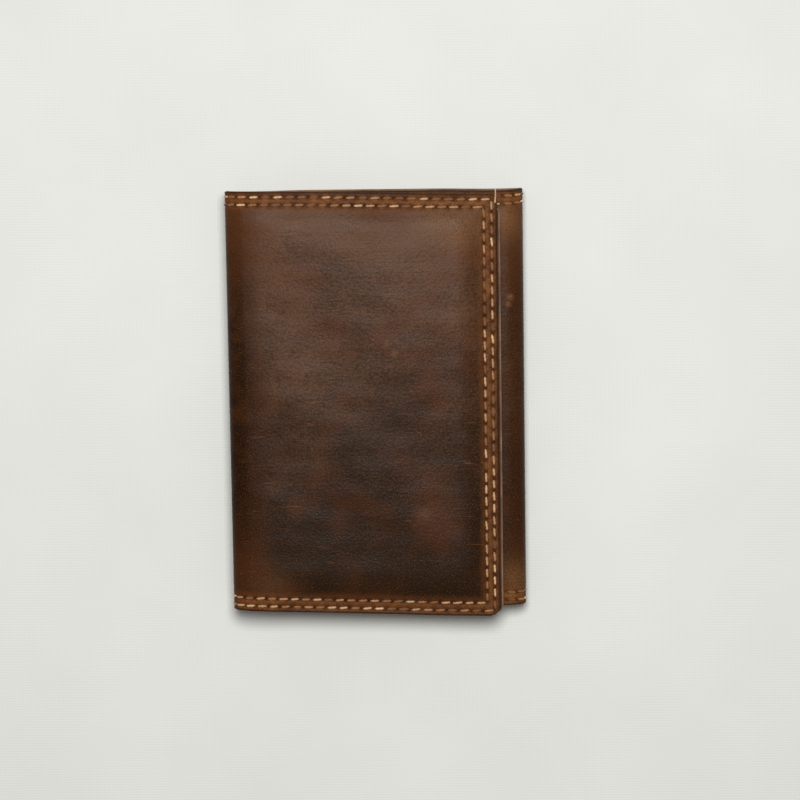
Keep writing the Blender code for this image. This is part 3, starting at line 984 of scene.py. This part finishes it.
def floor_material(name):
    """A pale woven backdrop, almost plain."""
    n = Nodes(name)
    place = n.scaled(n.add("ShaderNodeTexCoord", "Object"), (1000.0, 1000.0, 1000.0))
    cloud = n.noise(place, 0.02, 3.0)
    weave = n.total((n.wave(place, 0.45, "X"), 0.5), (n.wave(place, 0.45, "Y"), 0.5))
    tone = n.total((cloud, 0.7), (weave, 0.3))
    n.set(Base_Color=n.ramp(tone, [(0.3, srgb(229, 230, 225)), (0.7, srgb(237, 238, 233))]))
    n.set(Roughness=0.9)
    n.shader.inputs["Specular IOR Level"].default_value = 0.1
    n.bump(weave, 0.00004)
    return n.material


# ---------------------------------------------------------------- camera and light


def add_camera():
    camera = bpy.data.objects.new("camera", bpy.data.cameras.new("camera"))
    bpy.context.scene.collection.objects.link(camera)
    back = Vector((0, math.sin(CAMERA_TILT), math.cos(CAMERA_TILT)))
    up = Vector((math.sin(CAMERA_ROLL), math.cos(CAMERA_ROLL), 0))
    right = up.cross(back).normalized()
    turn = Matrix((right, back.cross(right), back)).transposed()
    place = Vector(CAMERA_TARGET) + back * CAMERA_DISTANCE
    camera.matrix_world = Matrix.Translation(place) @ turn.to_4x4()
    camera.data.sensor_width = 36.0
    camera.data.lens = 36.0 * CAMERA_DISTANCE / VIEW_WIDTH
    camera.data.clip_start = 0.01
    bpy.context.scene.camera = camera


def add_key_light():
    light = bpy.data.objects.new("key_light", bpy.data.lights.new("key_light", "AREA"))
    bpy.context.scene.collection.objects.link(light)
    light.data.shape = "DISK"
    light.data.size = KEY_SIZE
    light.data.energy = KEY_POWER
    light.location = KEY_PLACE
    light.rotation_euler = (-light.location).to_track_quat("-Z", "Y").to_euler()


def add_stage():
    bpy.ops.mesh.primitive_grid_add(x_subdivisions=8, y_subdivisions=8, size=5.0)
    floor = bpy.context.active_object
    floor.name = "floor"
    floor.location.z = -0.00005
    floor.data.materials.append(floor_material("pale_floor"))
    add_key_light()
    world = bpy.data.worlds.new("studio")
    bpy.context.scene.world = world
    world.use_nodes = True
    background = world.node_tree.nodes["Background"]
    background.inputs["Color"].default_value = (1.0, 0.98, 0.95, 1.0)
    background.inputs["Strength"].default_value = WORLD_STRENGTH
    bpy.context.scene.view_settings.view_transform = "Standard"


# ---------------------------------------------------------------- the wallet


def make_shells():
    """The four stretches of outer leather, each with its spine's and its leaf's body."""
    left_z, right_z = FLAP_TOP / 2, WING_TOP / 2
    flap = Shell("flap", -1, left_z, FLAP_TOP, FLAP_FREE_X + FLAP_OVERHANG)
    wing = Shell("wing", 1, right_z, WING_TOP, WING_FREE_X)
    return {
        "flap": (flap, "left_spine", "front_flap"),
        "wing": (wing, "right_spine", "inner_wing"),
        "back_left": (Shell("back", -1, left_z, 0.0, 0.0), "left_spine", "back_panel"),
        "back_right": (Shell("back", 1, right_z, 0.0, 0.0), "right_spine", "back_panel"),
    }


def stitch_nodes(*rows):
    return [f"{row}_{line}_stitches" for row in rows for line in ("outer", "inner")]


STOOD_FOR = {
    "leather": {
        "flap": ["flap_outer_leather", "left_spine_leather"],
        "wing": ["wing_outer_leather", "right_spine_leather"],
        "back_left": ["back_outer_leather"],
        "back_right": ["back_outer_leather"],
    },
    "stitching": {
        "flap": stitch_nodes("flap", "left_spine_top", "left_spine_bottom"),
        "wing": stitch_nodes("wing", "right_spine_top", "right_spine_bottom"),
        "back_left": stitch_nodes("back_top", "back_bottom"),
        "back_right": stitch_nodes("back_top", "back_bottom"),
    },
    "lining": {
        "flap": ["flap_bill_divider", "left_spine_lining"],
        "wing": ["wing_bill_divider", "right_spine_lining"],
        "back_left": ["back_bill_divider"],
        "back_right": ["back_bill_divider"],
    },
}
LINING_CUT_BACK = {"flap": 1.6, "wing": 0.2, "back_left": 0.0, "back_right": 0.0}
LINING_PRESS = {"flap": 1.16, "wing": 1.12, "back_left": 0.0, "back_right": 0.0}


def finish_piece(piece, nodes, body=None):
    if body:
        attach(piece, body)
    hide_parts(*nodes)


def build_outer_leather(shells, materials):
    """The outer leather with its stitching and the lining behind it, bent round both spines."""
    skin = [materials["outer"], materials["outer_edge"], materials["flesh"]]
    below = {-1: shells["back_left"][0].length, 1: shells["back_right"][0].length}
    for name, (shell, spine, leaf) in shells.items():
        leather = shell_object(name + "_leather", shell, below[shell.side], skin)
        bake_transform(leather)
        finish_piece(leather, STOOD_FOR["leather"][name])
        thread = shell_stitches(name + "_stitching", shell, materials["thread"])
        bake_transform(thread)
        finish_piece(thread, STOOD_FOR["stitching"][name])
        build_lining(name, shell, materials["cloth"])


def build_lining(name, shell, material):
    """The cloth behind one stretch, whose flat width runs round the bend at the cloth's depth."""
    cut_back = LINING_CUT_BACK[name]
    lining = cloth_object(name + "_lining", shell, cut_back, LINING_PRESS[name], material)
    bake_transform(lining)
    finish_piece(lining, STOOD_FOR["lining"][name])


# The leather sheets of each leaf, each with how far it is pressed down and its hem's crease.
LAYERS = {
    "back": (
        ("back_inner_panel", 0.27, 0.0), ("back_pocket_rear", 0.55, 0.1),
        ("back_pocket_middle", 0.83, 0.1), ("back_pocket_front", BACK_SEAM_SHIFT, 0.1),
    ),
    "wing": (
        ("wing_inner_panel", 0.84, 0.0), ("wing_pocket_rear", 0.56, 0.1),
        ("wing_pocket_middle", 0.28, 0.1), ("wing_pocket_front", 0.0, 0.1),
    ),
    "flap": (("flap_inner_panel", 0.88, 0.0),),
}
BODIES = {"back": "back_panel", "wing": "inner_wing", "flap": "front_flap"}


def build_layers(shells, materials):
    """The inner panels and the pockets of the three leaves."""
    presses = {"back": back_press}
    for leaf in ("flap", "wing"):
        presses[leaf] = leaf_press(shells[leaf][0])
    for leaf, layers in LAYERS.items():
        slope = FLAP_SLOPE if leaf == "flap" else 0.0
        for index, (node, shift, crease) in enumerate(layers):
            kind = "pocket" if "pocket" in node else "inner"
            faces = [materials[kind], materials["raw_edge"], materials["flesh"]]
            if leaf != "back":
                faces.reverse()
            piece = layer_object(
                node + "_sheet", node, shift, presses[leaf], faces,
                slope=slope, seed=20 + index, crease=crease, warped=leaf != "wing",
            )
            finish_piece(piece, [node], BODIES[leaf])


def build_window(materials):
    faces = [materials["flesh"], materials["raw_edge"], materials["pocket"]]
    piece = window_frame_object("window_frame", faces)
    finish_piece(piece, ["flap_window_frame"], "front_flap")
    film = film_object("window_film", materials["film"])
    finish_piece(film, ["flap_window_film"], "front_flap")


def u_rows(free_x, fold_x, low_y, high_y):
    """Two stitch rows along the bottom and the free edge of a leaf, seen from above."""
    rows = []
    inward = math.copysign(1, fold_x - free_x)
    for inset in ROW_INSETS:
        corner_x = free_x + inward * inset
        corner = (corner_x, low_y + inset)
        rows += [[(fold_x, low_y + inset), corner], [corner, (corner_x, high_y)]]
    return rows


def build_seams(shells, materials):
    """The stitching as it shows on the inner faces of the leaves."""
    thread = materials["thread"]
    frame_low, frame_high = box_mm("flap_window_frame")
    mouth = box_mm("wing_pocket_front")
    rows = u_rows(FLAP_FREE_X, frame_low[0] + 3, LOW_Y, frame_high[1] - 4)
    rows = [[(x, y - FLAP_SLOPE * (x - FLAP_START_X)) for x, y in row] for row in rows]
    tail = thread_tail(shells["flap"][0], thread)
    finish_piece(tail, ["flap_outer_stitches"], "front_flap")
    piece = seam_object("flap_inner_seams", rows, (frame_low[2], -1), no_press, thread)
    finish_piece(piece, stitch_nodes("flap"), "front_flap")
    rows = u_rows(WING_FREE_X, POCKET_HALF - 2, LOW_Y, mouth[1][1] - 1)
    piece = seam_object("wing_inner_seams", rows, (mouth[0][2], -1), no_press, thread)
    finish_piece(piece, stitch_nodes("wing"), "inner_wing")
    low, high = box_mm("back_pocket_front")
    bottom = [(low[0] + 2, LOW_Y + ROW_INSETS[1]), (high[0] - 2, LOW_Y + ROW_INSETS[1])]
    sides = [[(x, low[1] + 3), (x, high[1] - 1)] for x in (low[0] + 1.4, high[0] - 1.4)]
    face = (high[2], 1)
    piece = seam_object("back_inner_seams", [bottom, *sides], face, back_seam_press, thread)
    finish_piece(piece, stitch_nodes("back_bottom"), "back_panel")


def make_materials():
    inner = dict(LEATHER_TONES, light=srgb(78, 53, 37), tan=srgb(118, 76, 44))
    return {
        "outer": leather_material("outer_leather", LEATHER_TONES),
        "inner": leather_material("inner_leather", inner, border=(-0.6, 1.4)),
        "pocket": leather_material("pocket_leather", inner, border=(-1.0, 2.2), border_strength=0.45),
        "outer_edge": raw_edge_material("outer_cut_edge", srgb(104, 70, 46), srgb(48, 31, 21)),
        "raw_edge": raw_edge_material("raw_cut_edge", srgb(158, 116, 82), srgb(96, 64, 42)),
        "flesh": flesh_material("flesh_side"),
        "cloth": cloth_material("lining_cloth"),
        "thread": thread_material("waxed_thread"),
        "film": film_material("clear_film"),
    }


def main():
    add_camera()
    shells = make_shells()
    materials = make_materials()
    build_outer_leather(shells, materials)
    build_layers(shells, materials)
    build_window(materials)
    build_seams(shells, materials)
    add_stage()


main()
